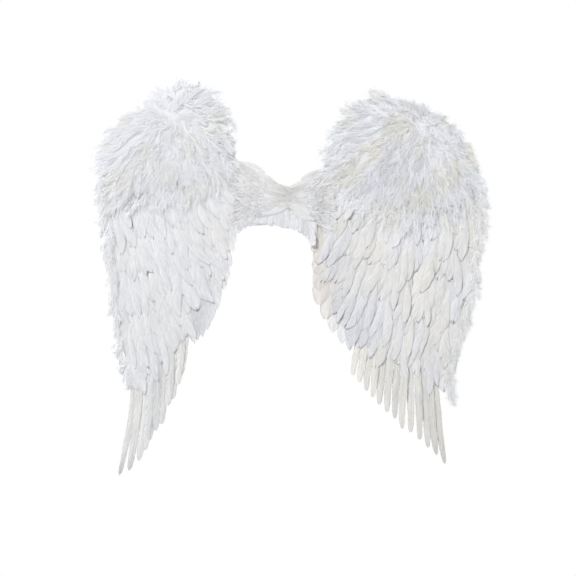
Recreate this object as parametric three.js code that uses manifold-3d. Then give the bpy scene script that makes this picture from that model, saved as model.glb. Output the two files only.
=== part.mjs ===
// Feathered costume wings: two feathered wings joined by a padded centre yoke, with two elastic
// shoulder straps on the wearer's side. Millimetres, +X to the right, +Z up, feathers facing -Y.
// The origin is the middle of the yoke's flat back, where it sits between the shoulder blades.
import * as THREE from 'three';
import { mergeVertices } from 'three/addons/utils/BufferGeometryUtils.js';
import Module from 'manifold-3d';

const wasm = await Module();
wasm.setup();

const { degToRad, lerp } = THREE.MathUtils;

// Driving dimensions
const CARD = 2; // thickness of each wing's card and felt backing
const GAP = 0.4; // clearance between pieces that touch
const SEAT = CARD + GAP; // height above the wing sheet where the feather roots sit
const FLAT_HALF = 42; // the middle stays flat out to here on each side
const SPREAD = 320; // where the wings reach their full lift
const WING_LIFT = 38; // how far the outer part of a wing stands off the wearer
const TIP_DEPTH = 445; // lowest flight feather tip below the origin
const TIP_CURL = 26; // how far the lowest tips curl back towards the wearer
const CREST_HEIGHT = 205;
const CREST_CURL = 16; // how far the top of the crest curls back
const YOKE_THICK = 11;
const SHINGLE = 0.082; // rise of a feather row over the row below it, per millimetre
const COVERT = { width: 19, thick: 1.8 };
const INNER_THICK = 1.2;
const FLIGHT = { width: 14, thick: 1.5, layer: 1.9, layerRun: 55 };
const YOKE_BLADE = { width: 20, thick: 1.8, slope: 0.2, riseTo: 2.8 };
const RIDGE_LEAST = 0.3; // how much of a blade's thickness its ridge keeps where the blade is narrowest
const LOCK = { width: 42, thick: 13, over: 3 };
const EDGE_LOCK = { width: 21, thick: 8 };
const STRAP = { width: 20, thick: 1.5, x: 119, seat: 0.4, steps: 24 };

// Strips that the roots of a row are glued to
const STRIP = {
  covert: { thick: 1.1, wide: 9 },
  inner: { thick: 0.9, wide: 9 },
  edge: { thick: 5, wide: 10 },
  yoke: { thick: 1.2, wide: 8 },
};

// The pad in the middle of a down crest: its half sizes, its dome as shares of them, and where its locks start
const PAD = {
  wide: 52,
  high: 40,
  thick: 14,
  sides: 12,
  shoulder: { out: 0.95, up: 0.6 },
  crown: { out: 0.55, up: 1 },
  lockRoot: 0.75,
};

// Materials: white feathers, one kind a little warmer than the other, down, off-white felt and elastic
const MATERIAL = {
  feather: { color: 0xeeeff2, roughness: 0.6 },
  flight: { color: 0xeeece6, roughness: 0.6 },
  down: { color: 0xf4f5f8, roughness: 0.9 },
  felt: { color: 0xe9e8e4, roughness: 0.95 },
  elastic: { color: 0xf2f2f2, roughness: 0.8 },
};

// Outline of each backing: a row for each level, x of the inner and the outer edge
const BACKING = {
  left: [
    { z: 186, inner: -140, outer: -203 },
    { z: 164, inner: -110, outer: -240 },
    { z: 140, inner: -102, outer: -268 },
    { z: 110, inner: -98, outer: -294 },
    { z: 84, inner: -96, outer: -302 },
    { z: 66, inner: -80, outer: -304 },
    { z: 20, inner: -78, outer: -304 },
    { z: -34, inner: -78, outer: -299 },
    { z: -58, inner: -98, outer: -295 },
    { z: -110, inner: -108, outer: -286 },
    { z: -160, inner: -124, outer: -281 },
    { z: -196, inner: -156, outer: -277 },
    { z: -232, inner: -196, outer: -271 },
    { z: -258, inner: -238, outer: -265 },
  ],
  right: [
    { z: 182, inner: 134, outer: 178 },
    { z: 162, inner: 108, outer: 236 },
    { z: 136, inner: 84, outer: 272 },
    { z: 106, inner: 74, outer: 292 },
    { z: 84, inner: 66, outer: 306 },
    { z: 62, inner: 52, outer: 316 },
    { z: 10, inner: 52, outer: 324 },
    { z: -52, inner: 52, outer: 319 },
    { z: -80, inner: 60, outer: 313 },
    { z: -120, inner: 56, outer: 310 },
    { z: -160, inner: 66, outer: 305 },
    { z: -196, inner: 84, outer: 294 },
    { z: -230, inner: 124, outer: 284 },
    { z: -256, inner: 200, outer: 276 },
  ],
};

// The yoke, a padded saddle: its upper and lower edge and its thickness along x
const YOKE = [
  { x: -77.5, top: 64, bottom: -36, thick: 7 },
  { x: -62, top: 66, bottom: -31, thick: 9 },
  { x: -42, top: 57, bottom: -30, thick: YOKE_THICK },
  { x: -26, top: 44, bottom: -30, thick: YOKE_THICK },
  { x: -11, top: 35, bottom: -31, thick: YOKE_THICK },
  { x: 10, top: 35, bottom: -33, thick: YOKE_THICK },
  { x: 26, top: 47, bottom: -39, thick: YOKE_THICK },
  { x: 40, top: 60, bottom: -48, thick: YOKE_THICK },
  { x: 51.5, top: 61, bottom: -54, thick: 9 },
];

// The yoke's rounded edge: how far in from its outline, and how high over its back or how far below its face
const YOKE_EDGE = [
  { inset: 3, over: 0 },
  { inset: 0, over: 3 },
  { inset: 1.5, below: 2.5 },
  { inset: 8, below: 0 },
];

// Rows of covert feathers, lowest first; the topmost is short and lies beside the yoke.
// Roots and tips are each given at the row's inner and outer end.
const COVERTS = {
  left: [
    { rootIn: [-190, -143], rootOut: [-255, -222], tipIn: [-162, -222], tipOut: [-243, -306], count: 7 },
    { rootIn: [-168, -93], rootOut: [-262, -172], tipIn: [-136, -170], tipOut: [-251, -254], count: 7 },
    { rootIn: [-147, -46], rootOut: [-269, -113], tipIn: [-112, -124], tipOut: [-261, -194], count: 9 },
    { rootIn: [-134, 4], rootOut: [-275, -52], tipIn: [-97, -74], tipOut: [-267, -133], count: 9 },
    { rootIn: [-130, 50], rootOut: [-281, 10], tipIn: [-94, -26], tipOut: [-275, -70], count: 9 },
    { rootIn: [-112, 104], rootOut: [-150, 74], tipIn: [-90, 30], tipOut: [-124, -6], count: 5 },
  ],
  right: [
    { rootIn: [136, -152], rootOut: [263, -228], tipIn: [111, -232], tipOut: [258, -310], count: 11 },
    { rootIn: [116, -104], rootOut: [273, -176], tipIn: [86, -180], tipOut: [268, -256], count: 11 },
    { rootIn: [102, -58], rootOut: [282, -120], tipIn: [68, -132], tipOut: [275, -200], count: 11 },
    { rootIn: [96, -10], rootOut: [293, -58], tipIn: [62, -84], tipOut: [281, -138], count: 11 },
    { rootIn: [104, 40], rootOut: [301, 4], tipIn: [72, -38], tipOut: [292, -76], count: 11 },
    { rootIn: [100, 86], rootOut: [136, 62], tipIn: [68, 18], tipOut: [98, -16], count: 5 },
  ],
};

// Long flight feathers from the outer one inwards: tip, lean from straight down (+ towards +X) and length
const FLIGHTS = {
  left: [
    { tip: [-277, -444], lean: -9, length: 190 },
    { tip: [-262, -436], lean: -8, length: 188 },
    { tip: [-247, -419], lean: -7, length: 176 },
    { tip: [-236, -402], lean: -6, length: 164 },
    { tip: [-226, -388], lean: -5, length: 156 },
    { tip: [-216, -374], lean: -4, length: 150 },
    { tip: [-205, -362], lean: -2, length: 146 },
    { tip: [-196, -328], lean: -4, length: 120 },
    { tip: [-187, -318], lean: -5, length: 116 },
    { tip: [-178, -292], lean: -6, length: 98 },
    { tip: [-169, -282], lean: -6, length: 96 },
  ],
  right: [
    { tip: [262, -423], lean: 7, length: 172 },
    { tip: [249, -406], lean: 6, length: 160 },
    { tip: [235, -394], lean: 4, length: 152 },
    { tip: [221, -382], lean: 2, length: 144 },
    { tip: [206, -371], lean: 0, length: 138 },
    { tip: [192, -366], lean: -1, length: 138 },
    { tip: [181, -348], lean: -2, length: 126 },
    { tip: [168, -338], lean: -3, length: 122 },
    { tip: [155, -326], lean: -4, length: 116 },
    { tip: [143, -314], lean: -5, length: 110 },
    { tip: [134, -303], lean: -6, length: 104 },
    { tip: [121, -290], lean: -8, length: 98 },
    { tip: [111, -278], lean: -10, length: 94 },
  ],
};

// Broad soft feathers that stand out past the inner edge, below the yoke
const INNER = {
  left: { rootIn: [-126, -84], rootOut: [-142, -118], tipIn: [-114, -166], tipOut: [-133, -198], count: 3, width: 26 },
  right: { rootIn: [70, -62], rootOut: [106, -136], tipIn: [52, -158], tipOut: [90, -226], count: 4, width: 32 },
};

// Down crest: plump locks that fan out from a pad, each to its own reach. Angles run from +X towards +Z.
const CREST = {
  left: {
    centre: [-200, 103],
    reach: [109, 115, 120, 114, 103, 90, 90, 97, 113, 130, 140, 100, 84, 86, 90, 98],
  },
  right: {
    centre: [190, 82],
    reach: [134, 127, 114, 101, 106, 119, 127, 127, 131, 122, 103, 96, 97, 118, 142, 142],
  },
};

// Thinner down trim along the outer edge, from the crest towards the tips
const EDGE = {
  left: { rootIn: [-300, 0], rootOut: [-274, -228], tipIn: [-305, -66], tipOut: [-263, -298], count: 7 },
  right: { rootIn: [322, 0], rootOut: [284, -226], tipIn: [328, -66], tipOut: [272, -300], count: 7 },
};

// Small feathers over the yoke: one bunch to each side, and one below that the others lie over
const YOKE_FEATHERS = {
  left: { rootIn: [-12, 22], rootOut: [-28, 9], tipIn: [-80, 52], tipOut: [-94, -26], count: 5, top: true },
  right: { rootIn: [12, 22], rootOut: [26, 9], tipIn: [62, 52], tipOut: [72, -38], count: 5, top: true },
  lower: { rootIn: [-54, -14], rootOut: [44, -14], tipIn: [-72, -46], tipOut: [52, -60], count: 7, arch: 22, top: false },
};

// Half widths along a blade, as shares of its length and of its width
const SHAPE = {
  covert: [
    { along: 0, wide: 0.5 },
    { along: 0.5, wide: 1 },
    { along: 0.86, wide: 0.84 },
    { along: 1, wide: 0.2 },
  ],
  flight: [
    { along: 0, wide: 0.24 },
    { along: 0.32, wide: 0.45 },
    { along: 0.54, wide: 0.96 },
    { along: 0.88, wide: 0.86 },
    { along: 1, wide: 0.16 },
  ],
  lock: [
    { along: 0, wide: 0.4 },
    { along: 0.5, wide: 1 },
    { along: 0.86, wide: 0.76 },
    { along: 1, wide: 0.26 },
  ],
};

// The strap's run seen from the side, from its upper sewn end to its lower one: z, and either how far it lies
// off the backing there or, where it is free, its own y
const STRAP_RUN = [
  { z: 42, off: 0 },
  { z: 58, off: 0 },
  { z: 72, off: 0 },
  { z: 84, off: 3 },
  { z: 110, y: 16 },
  { z: 130, y: 62 },
  { z: 114, y: 118 },
  { z: 62, y: 152 },
  { z: 0, y: 158 },
  { z: -58, y: 142 },
  { z: -98, y: 100 },
  { z: -112, y: 50 },
  { z: -98, y: 14 },
  { z: -76, off: 3 },
  { z: -64, off: 0 },
  { z: -52, off: 0 },
  { z: -38, off: 0 },
];

// Height of the wing sheet off the wearer: flat at the yoke, rising outwards, curled back at top and bottom.
function lift(x, z) {
  const outward = Math.max(0, Math.abs(x) - FLAT_HALF) / (SPREAD - FLAT_HALF);
  const curl = z < 0 ? TIP_CURL * (z / TIP_DEPTH) ** 2 : CREST_CURL * (z / CREST_HEIGHT) ** 2;
  return outward * (WING_LIFT - curl);
}

// A point that stands height above the wing sheet at (x, z).
function onWing(x, z, height) {
  return [x, -lift(x, z) - height, z];
}

// Triangles across a ring, worked in from its two ends so that a long thin ring closes cleanly.
function across(count) {
  const corners = [];
  let low = 0;
  let high = count - 1;
  while (high - low > 1) {
    corners.push([low, low + 1, high]);
    low += 1;
    if (high - low > 1) {
      corners.push([low, high - 1, high]);
      high -= 1;
    }
  }
  return corners;
}

// A closed solid through rings of points that all have the same count.
function loft(rings) {
  const count = rings[0].length;
  const last = (rings.length - 1) * count;
  const index = [];
  for (let r = 0; r + 1 < rings.length; r++) {
    for (let i = 0; i < count; i++) {
      const a = r * count + i;
      const b = r * count + ((i + 1) % count);
      index.push(a, b, a + count, b, b + count, a + count);
    }
  }
  for (const [a, b, c] of across(count)) {
    index.push(c, b, a, last + a, last + b, last + c);
  }
  return facingOut(rings.flat(2), index);
}

// Geometry from positions and triangles, turned over if its faces point inwards.
function facingOut(positions, index) {
  const corner = (k) => new THREE.Vector3().fromArray(positions, 3 * k);
  let volume = 0;
  for (let i = 0; i < index.length; i += 3) {
    volume += corner(index[i]).dot(corner(index[i + 1]).cross(corner(index[i + 2])));
  }
  if (volume < 0) {
    index.reverse();
  }
  const geometry = new THREE.BufferGeometry();
  geometry.setAttribute('position', new THREE.Float32BufferAttribute(positions, 3));
  geometry.setIndex(index);
  return geometry;
}

// Several overlapping geometries fused into one.
function fuse(geometries) {
  const solids = geometries.map((geometry) => {
    const merged = mergeVertices(geometry, 1e-4);
    return new wasm.Manifold(
      new wasm.Mesh({
        numProp: 3,
        vertProperties: new Float32Array(merged.attributes.position.array),
        triVerts: new Uint32Array(merged.index.array),
      }),
    );
  });
  const whole = solids.reduce((sum, solid) => sum.add(solid)).getMesh();
  const geometry = new THREE.BufferGeometry();
  geometry.setAttribute('position', new THREE.BufferAttribute(whole.vertProperties, 3));
  geometry.setIndex(new THREE.BufferAttribute(whole.triVerts, 1));
  return geometry;
}

// One feather blade or lock from root to tip: two thin edges and a raised shaft line over a flat
// underside, which leaves the root at height base and rises from there.
function blade({ root, tip, width, thick, base, rise, shape }) {
  const run = new THREE.Vector2(tip[0] - root[0], tip[1] - root[1]);
  const length = run.length();
  const side = new THREE.Vector2(-run.y, run.x).setLength(width / 2);
  const rings = shape.map(({ along, wide }) => {
    const x = root[0] + run.x * along;
    const z = root[1] + run.y * along;
    const low = base + rise(along * length);
    return [
      onWing(x - side.x * wide, z - side.y * wide, low),
      onWing(x, z, low + thick * lerp(RIDGE_LEAST, 1, wide)),
      onWing(x + side.x * wide, z + side.y * wide, low),
    ];
  });
  return loft(rings);
}

// The strip that the roots of a row are glued to, drawn across the row.
function rootStrip(roots, base, thick, wide) {
  const [first, last] = [roots[0], roots[roots.length - 1]];
  const side = new THREE.Vector2(first[1] - last[1], last[0] - first[0]).setLength(wide / 2);
  const rings = roots.map(([x, z]) => [
    onWing(x - side.x, z - side.y, base),
    onWing(x - side.x, z - side.y, base + thick),
    onWing(x + side.x, z + side.y, base + thick),
    onWing(x + side.x, z + side.y, base),
  ]);
  return loft(rings);
}

const between = (from, to, share) => [lerp(from[0], to[0], share), lerp(from[1], to[1], share)];

// A row of blades side by side on one strip. The line of their tips is arched upwards in the middle by arch.
function featherRow({ rootIn, rootOut, tipIn, tipOut, count, arch = 0 }, { strip, ...form }) {
  const shares = Array.from({ length: count }, (_, i) => i / (count - 1));
  const roots = shares.map((share) => between(rootIn, rootOut, share));
  const blades = shares.map((share, i) => {
    const [x, z] = between(tipIn, tipOut, share);
    return blade({ root: roots[i], tip: [x, z + 4 * arch * share * (1 - share)], ...form });
  });
  const glued = roots.filter((_, i) => i % strip.every === 0);
  return fuse([rootStrip(glued, form.base, strip.thick, strip.wide), ...blades]);
}

const level = () => 0;
const shingled = (distance) => SHINGLE * distance;

function covertRow(row) {
  const strip = { ...STRIP.covert, every: (row.count - 1) / 2 };
  return featherRow(row, { ...COVERT, base: SEAT, rise: shingled, shape: SHAPE.covert, strip });
}

function innerFeathers({ width, ...row }) {
  const strip = { ...STRIP.inner, every: row.count - 1 };
  return featherRow(row, { width, thick: INNER_THICK, base: SEAT, rise: level, shape: SHAPE.covert, strip });
}

function edgeTrim(row) {
  const strip = { ...STRIP.edge, every: 2 };
  return featherRow(row, { ...EDGE_LOCK, base: SEAT, rise: level, shape: SHAPE.lock, strip });
}

function yokeFeathers({ top, ...row }) {
  const strip = { ...STRIP.yoke, every: row.count - 1 };
  const { width, thick, slope, riseTo } = YOKE_BLADE;
  const rise = top ? (distance) => Math.min(riseTo, slope * distance) : level;
  return featherRow(row, { width, thick, base: YOKE_THICK + GAP, rise, shape: SHAPE.covert, strip });
}

// The crest: a domed pad with locks all round it. Those that point down lie over the covert feathers.
function crest({ centre, reach }) {
  const onPad = (angle, share) => [
    centre[0] + share * PAD.wide * Math.cos(angle),
    centre[1] + share * PAD.high * Math.sin(angle),
  ];
  const sides = Array.from({ length: PAD.sides }, (_, i) => (2 * Math.PI * i) / PAD.sides);
  const pad = loft(
    [{ out: 1, up: 0 }, PAD.shoulder, PAD.crown].map(({ out, up }) =>
      sides.map((angle) => onWing(...onPad(angle, out), SEAT + PAD.thick * up)),
    ),
  );
  const locks = reach.map((far, i) => {
    const angle = (2 * Math.PI * i) / reach.length;
    const root = onPad(angle, PAD.lockRoot);
    const tip = [centre[0] + far * Math.cos(angle), centre[1] + far * Math.sin(angle)];
    const over = angle === 0 || angle >= Math.PI;
    const rise = over ? shingled : level;
    return blade({ root, tip, ...LOCK, base: over ? SEAT + LOCK.over : SEAT, rise, shape: SHAPE.lock });
  });
  return fuse([pad, ...locks]);
}

// A flight feather: the bare quill sits on the backing, and every other vane lies over its neighbours.
function flightFeather({ tip, lean, length }, place) {
  const angle = degToRad(lean);
  const root = [tip[0] - length * Math.sin(angle), tip[1] + length * Math.cos(angle)];
  const layer = (place % 2) * FLIGHT.layer;
  const rise = (distance) => layer * Math.min(1, distance / FLIGHT.layerRun);
  return blade({ root, tip, ...FLIGHT, base: SEAT, rise, shape: SHAPE.flight });
}

// A thin sheet that follows the wing, through a table of levels.
function backing(levels) {
  const columns = 3;
  const rings = levels.map(({ z, inner, outer }) => {
    const xs = Array.from({ length: columns }, (_, i) => lerp(inner, outer, i / (columns - 1)));
    return [...xs.map((x) => onWing(x, z, CARD)), ...xs.map((x) => onWing(x, z, 0)).reverse()];
  });
  return loft(rings);
}

// The yoke: a pad with a flat back and rounded edges, lofted along x.
function yokePanel() {
  const rings = YOKE.map(({ x, top, bottom, thick }) => {
    const edge = YOKE_EDGE.map(({ inset, over, below }) => ({ inset, height: over ?? thick - below }));
    const upper = edge.map(({ inset, height }) => onWing(x, top - inset, height));
    const lower = edge.map(({ inset, height }) => onWing(x, bottom + inset, height));
    return [...upper, ...lower.reverse()];
  });
  return loft(rings);
}

// A shoulder strap: a flat elastic band sewn to the backing above and below, standing off as a loop for
// the arm. It runs along a curve in the Y-Z plane and leans across its width as the wing does there.
function shoulderStrap(side) {
  const x = side * STRAP.x;
  const behind = (z) => -lift(x, z) + STRAP.seat + STRAP.thick / 2;
  const lean = (lift(STRAP.x + 1, 0) - lift(STRAP.x - 1, 0)) / 2;
  const points = STRAP_RUN.map(({ z, y, off }) => new THREE.Vector3(x, y ?? behind(z) + off, z));
  const route = new THREE.CatmullRomCurve3(points, false, 'centripetal');
  const rings = Array.from({ length: STRAP.steps + 1 }, (_, i) => {
    const point = route.getPointAt(i / STRAP.steps);
    const along = route.getTangentAt(i / STRAP.steps);
    const up = new THREE.Vector3(0, along.z, -along.y).multiplyScalar(STRAP.thick / 2);
    const half = new THREE.Vector3(STRAP.width / 2, (-side * lean * STRAP.width) / 2, 0);
    return [
      point.clone().add(up).sub(half).toArray(),
      point.clone().add(up).add(half).toArray(),
      point.clone().sub(up).add(half).toArray(),
      point.clone().sub(up).sub(half).toArray(),
    ];
  });
  return loft(rings);
}

function named(name, geometry, look) {
  geometry.computeVertexNormals();
  const material = new THREE.MeshStandardMaterial({ ...look, metalness: 0, flatShading: true });
  const mesh = new THREE.Mesh(geometry, material);
  mesh.name = name;
  return mesh;
}

// One wing with everything that is glued to its backing.
function wing(side) {
  const group = new THREE.Group();
  group.add(named(`backing_${side}`, backing(BACKING[side]), MATERIAL.felt));
  FLIGHTS[side].forEach((feather, i) => {
    const number = String(i + 1).padStart(2, '0');
    group.add(named(`flight_feather_${side}_${number}`, flightFeather(feather, i), MATERIAL.flight));
  });
  COVERTS[side].forEach((row, i) => {
    group.add(named(`covert_row_${side}_${i + 1}`, covertRow(row), MATERIAL.feather));
  });
  group.add(named(`inner_feathers_${side}`, innerFeathers(INNER[side]), MATERIAL.feather));
  group.add(named(`marabou_crest_${side}`, crest(CREST[side]), MATERIAL.down));
  group.add(named(`marabou_edge_${side}`, edgeTrim(EDGE[side]), MATERIAL.down));
  return group;
}

const wings = new THREE.Group();
wings.add(wing('left'), wing('right'));
wings.add(named('yoke_panel', yokePanel(), MATERIAL.felt));
for (const place of ['left', 'right', 'lower']) {
  wings.add(named(`yoke_feathers_${place}`, yokeFeathers(YOKE_FEATHERS[place]), MATERIAL.feather));
}
wings.add(named('shoulder_strap_left', shoulderStrap(-1), MATERIAL.elastic));
wings.add(named('shoulder_strap_right', shoulderStrap(1), MATERIAL.elastic));

export default wings;
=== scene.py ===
"""Feathered costume wings: two wings of layered feathers and down, joined by a padded yoke. Everything is
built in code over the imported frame, in its frame: +X right, +Z up, feathers facing -Y. The tables are in
millimetres, and a mesh is scaled to metres when it is made."""

import math

import bpy
import numpy as np
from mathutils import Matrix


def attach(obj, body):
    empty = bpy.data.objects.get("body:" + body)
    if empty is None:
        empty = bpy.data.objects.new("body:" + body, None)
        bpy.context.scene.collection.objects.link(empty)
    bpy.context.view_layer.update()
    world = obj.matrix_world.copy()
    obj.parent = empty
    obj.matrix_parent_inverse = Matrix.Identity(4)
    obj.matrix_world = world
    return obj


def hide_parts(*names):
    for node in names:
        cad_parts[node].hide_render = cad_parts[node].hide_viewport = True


MM = 0.001
# Faces under this area, in square metres, are left out: they have two corners in one place
SMALLEST_FACE = 1e-13
SIDES = ("left", "right")
SIGN = {"left": -1, "right": 1}

# The sheet that each wing lies on
SEAT = 2.4
FLAT_HALF = 42.0
SPREAD = 320.0
WING_LIFT = 38.0
TIP_DEPTH = 445.0
TIP_CURL = 26.0
CREST_HEIGHT = 205.0
CREST_CURL = 16.0

# Rows of covert feathers, lowest first: where the roots and the tips lie at the inner and the outer end
COVERTS = {
    "left": [
        dict(root_in=(-190, -143), root_out=(-255, -222), tip_in=(-162, -222), tip_out=(-243, -306), count=7),
        dict(root_in=(-168, -93), root_out=(-262, -172), tip_in=(-136, -170), tip_out=(-251, -254), count=8),
        dict(root_in=(-147, -46), root_out=(-269, -113), tip_in=(-112, -124), tip_out=(-261, -194), count=9),
        dict(root_in=(-134, 4), root_out=(-275, -52), tip_in=(-97, -74), tip_out=(-267, -133), count=10),
        dict(root_in=(-130, 50), root_out=(-281, 10), tip_in=(-94, -26), tip_out=(-275, -70), count=10),
        dict(root_in=(-102, 100), root_out=(-150, 74), tip_in=(-80, 32), tip_out=(-124, -6), count=6),
    ],
    "right": [
        dict(root_in=(136, -152), root_out=(263, -228), tip_in=(111, -232), tip_out=(258, -310), count=10),
        dict(root_in=(116, -104), root_out=(273, -176), tip_in=(86, -180), tip_out=(268, -256), count=11),
        dict(root_in=(102, -58), root_out=(282, -120), tip_in=(68, -132), tip_out=(275, -200), count=12),
        dict(root_in=(96, -10), root_out=(293, -58), tip_in=(62, -84), tip_out=(284, -138), count=12),
        dict(root_in=(104, 40), root_out=(301, 4), tip_in=(72, -38), tip_out=(294, -76), count=12),
        dict(root_in=(88, 86), root_out=(136, 62), tip_in=(56, 22), tip_out=(98, -16), count=6),
    ],
}

# Layers of a covert row: how densely it is filled and how far its tips draw back, as shares, its height and widths
COVERT_LAYERS = (
    dict(fill=1.0, back=(0.06, 0.14), low=0.2, width=(26, 31), swing=3),
    dict(fill=1.8, back=(-0.34, 0.5), low=1.0, width=(11, 18), swing=6),
)
# Short feathers that come out from under the down at the top of a wing
COVERT_SHORT = dict(fill=1.3, back=(0.36, 0.74), low=1.5, width=(11, 17), swing=7)
COVERT_SHORT_FROM = 5
# The least that tips draw back at a row's ends and in the lowest row: below 0 they reach past the row
COVERT_LONG = -0.16
COVERT_ENDS = {"left": (-0.07, 1.04), "right": (-0.05, 1.01)}
COVERT_CREAM = {"left": 0.4, "right": 1.45}
COVERT_SLOPE = 0.035
# How far the end of a feather bends down on to what lies under it
COVERT_DROOP = 0.9
# How grey single coverts are, at random; the right wing's are greyer all over: painted shade, as the light falls from
# the left
COVERT_SHADE = {"left": (-0.1, 0.12), "right": (0.02, 0.3)}
# How much greyer a row gets towards its inner end, over this share of its length
COVERT_INNER_SHADE = {"left": 0.0, "right": 0.34}
COVERT_INNER_REACH = 0.3
COVERT_ROLL = {"left": (0.03, 0.09), "right": (0.02, 0.07)}

# Two ripples across a vane, in radians per millimetre along the feather
RIPPLE = (0.42, 1.15)

# Flight feathers from the outer one inwards: tip, lean from straight down (+ towards +X), length and bow to +X
FLIGHTS = {
    "left": [
        ((-278, -444), -5.5, 190, 0.056),
        ((-262, -436), -7, 188, 0.012),
        ((-246, -420), -7, 176, 0.01),
        ((-235, -402), -6, 164, 0.008),
        ((-227.5, -386), -5, 156, 0.004),
        ((-218, -370), -3, 148, 0.004),
        ((-208, -359), -3, 143, 0.0),
        ((-198, -328), -4, 120, 0.0),
        ((-190, -318), -5, 116, 0.004),
        ((-181, -293), -6, 98, 0.0),
        ((-176, -278), -6, 96, 0.004),
    ],
    "right": [
        ((262, -425), 7, 172, -0.01),
        ((248, -410), 6, 160, -0.004),
        ((234, -398), 4, 152, 0.0),
        ((220, -385), 2, 144, 0.004),
        ((205, -373), 0, 138, -0.004),
        ((191, -367), -1, 138, 0.006),
        ((179, -350), -2, 126, 0.0),
        ((166, -339), -3, 122, -0.004),
        ((153, -327), -4, 116, 0.004),
        ((142, -315), -5, 110, 0.0),
        ((132, -304), -6, 104, 0.006),
        ((120, -290), -8, 98, 0.0),
        ((109, -279), -10, 94, 0.0),
    ],
}

FLIGHT_WIDTH = {"left": (13, 15.5), "right": (11.5, 13.5)}
# The outermost one of each wing is narrower
FLIGHT_FIRST = {"left": 10.5, "right": 11.5}
FLIGHT_CREAM = {"left": (0.0, 0.6), "right": (0.55, 0.85)}
# How grey single flight feathers are, at random; the right wing's are greyer: painted shade, as the light falls from
# the left
FLIGHT_SHADE = {"left": (0.0, 0.35), "right": (0.0, 0.62)}
# How much greyer the outermost one gets at its tip, and over how many feathers that fades inwards
FLIGHT_TIP_SHADE = {"left": (0.95, 4), "right": (0.5, 5)}

# Soft feathers past the inner edge: root, tip, width and how grey each one is
INNER = {
    "left": [
        ((-104, 14), (-87, -46), 15, 0.05),
        ((-106, 2), (-87, -60), 15, 0.1),
        ((-108, -12), (-89, -74), 16, 0.05),
        ((-114, -30), (-93, -98), 18, 0.05),
        ((-118, -48), (-98, -118), 18, 0.05),
        ((-120, -62), (-105, -136), 18, 0.1),
        ((-124, -74), (-111, -152), 18, 0.1),
        ((-128, -86), (-117, -170), 18, 0.15),
        ((-132, -98), (-125, -188), 18, 0.3),
        ((-138, -108), (-132, -203), 18, 0.45),
        ((-144, -116), (-140, -214), 16, 0.6),
        ((-150, -124), (-148, -220), 16, 0.7),
        ((-157, -132), (-157, -222), 14, 0.6),
    ],
    "right": [
        ((57, -16), (40, -60), 16, 0.3),
        ((62, -28), (43, -74), 18, 0.2),
        ((66, -30), (48, -92), 22, 0.1),
        ((68, -44), (50, -112), 26, 0.1),
        ((72, -58), (52, -138), 30, 0.15),
        ((76, -72), (53, -162), 32, 0.15),
        ((82, -88), (62, -186), 30, 0.2),
        ((92, -106), (76, -208), 28, 0.1),
        ((102, -124), (91, -226), 24, 0.1),
        ((110, -136), (104, -238), 18, 0.1),
    ],
}

INNER_CREAM = {"left": (0.0, 0.4), "right": (0.5, 1.0)}
# The right wing's ones are faintly pink, but for the lowest: how strong their tint is by the height of the tip
INNER_MATERIAL = {"left": "covert", "right": "blush"}
INNER_TINT = {"left": ((-230, 0), (1.0, 1.0)), "right": ((-226, -186), (0.1, 1.0))}

# Down crest: how far it reaches from its centre, at even angles from +X towards +Z, and where its down parts from
CREST = {
    "left": dict(
        centre=(-200, 103),
        reach=(113, 119, 121, 115, 95, 76, 78, 88, 111, 126, 142, 100, 84, 86, 92, 112),
        source=(-190, 152),
    ),
    "right": dict(
        centre=(190, 82),
        reach=(123, 105, 98, 90, 98, 121, 128, 127, 130, 122, 103, 96, 97, 118, 142, 142),
        source=(216, 138),
    ),
}

# Rings of plumes in a crest: where their middles lie as a share of the reach, and how many there are
CREST_RINGS = ((0.92, 62), (0.82, 54), (0.71, 46), (0.6, 39), (0.48, 32), (0.35, 25), (0.21, 16), (0.07, 6))
CREST_THICK = 10.0
CREST_OVER = 3.5
CREST_THIN = 0.24
CREST_WISPS = 1500
CREST_FRINGE = 72
# How grey single plumes of down are, at random; the right crest's are greyer: painted shade, as the light falls from
# the left
DOWN_SHADE = {"left": (0.0, 0.3), "right": (0.05, 0.6)}
DOWN_CREAM = {"left": 0.5, "right": 0.9}

# Down trim along the outer edge: points of its line from the top to the bottom
EDGE = {
    "left": ((-311, 56), (-303, 10), (-295, -52), (-287, -122),
             (-285, -152), (-279, -200), (-276, -240), (-261, -284)),
    "right": ((316, 62), (322, 25), (321, -10), (313, -55), (308, -115),
              (303, -150), (289, -190), (282, -228), (266, -258), (275, -303)),
}

EDGE_PLUMES = 112
# Its plumes lie in turn low by the backing, half way and over the coverts, as shares of its height
EDGE_LAYERS = (1.0, 0.45, 0.8, 0.05)
EDGE_LOW = 0.6
EDGE_HIGH = (4.5, 6.0)
# How wide the trim is along its line, as shares
EDGE_WIDTH = {
    "left": ((0, 1.0), (0.35, 0.85), (0.7, 0.65), (1, 0.55)),
    "right": ((0, 1.0), (0.5, 1.0), (0.8, 0.75), (1, 0.9)),
}

# Feathers over the yoke: where they start by the middle and end by the wing, and their layers from the wing inwards
YOKE_FEATHERS = {
    "left": dict(root_in=(-1, 24.5), root_out=(-4, 4), tip_in=(-90, 87), tip_out=(-102, -38), bulge=1, size=(44, 62)),
    "right": dict(root_in=(3, 22.5), root_out=(5, 4), tip_in=(72, 66), tip_out=(86, -44), bulge=2, size=(40, 56)),
    "lower": dict(root_in=(-72, 6), root_out=(41, 2), tip_in=(-90, -49), tip_out=(50, -70), arch=29, size=(34, 42)),
}
# Its layers: how far out their tips lie, as a share, how many feathers they have and how wide those are
YOKE_LAYERS = {
    "side": (
        (1.05, 9, (18, 22)),
        (1.0, 23, (6, 11)),
        (0.88, 20, (6, 11)),
        (0.76, 15, (6, 11)),
        (0.64, 14, (6, 11)),
        (0.52, 12, (6, 11)),
        (0.42, 10, (6, 11)),
    ),
    "lower": ((1.0, 30, (9, 12)), (0.95, 28, (9, 12))),
}

# How wide its fans are at the wings
YOKE_FAN = 130.0

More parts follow.
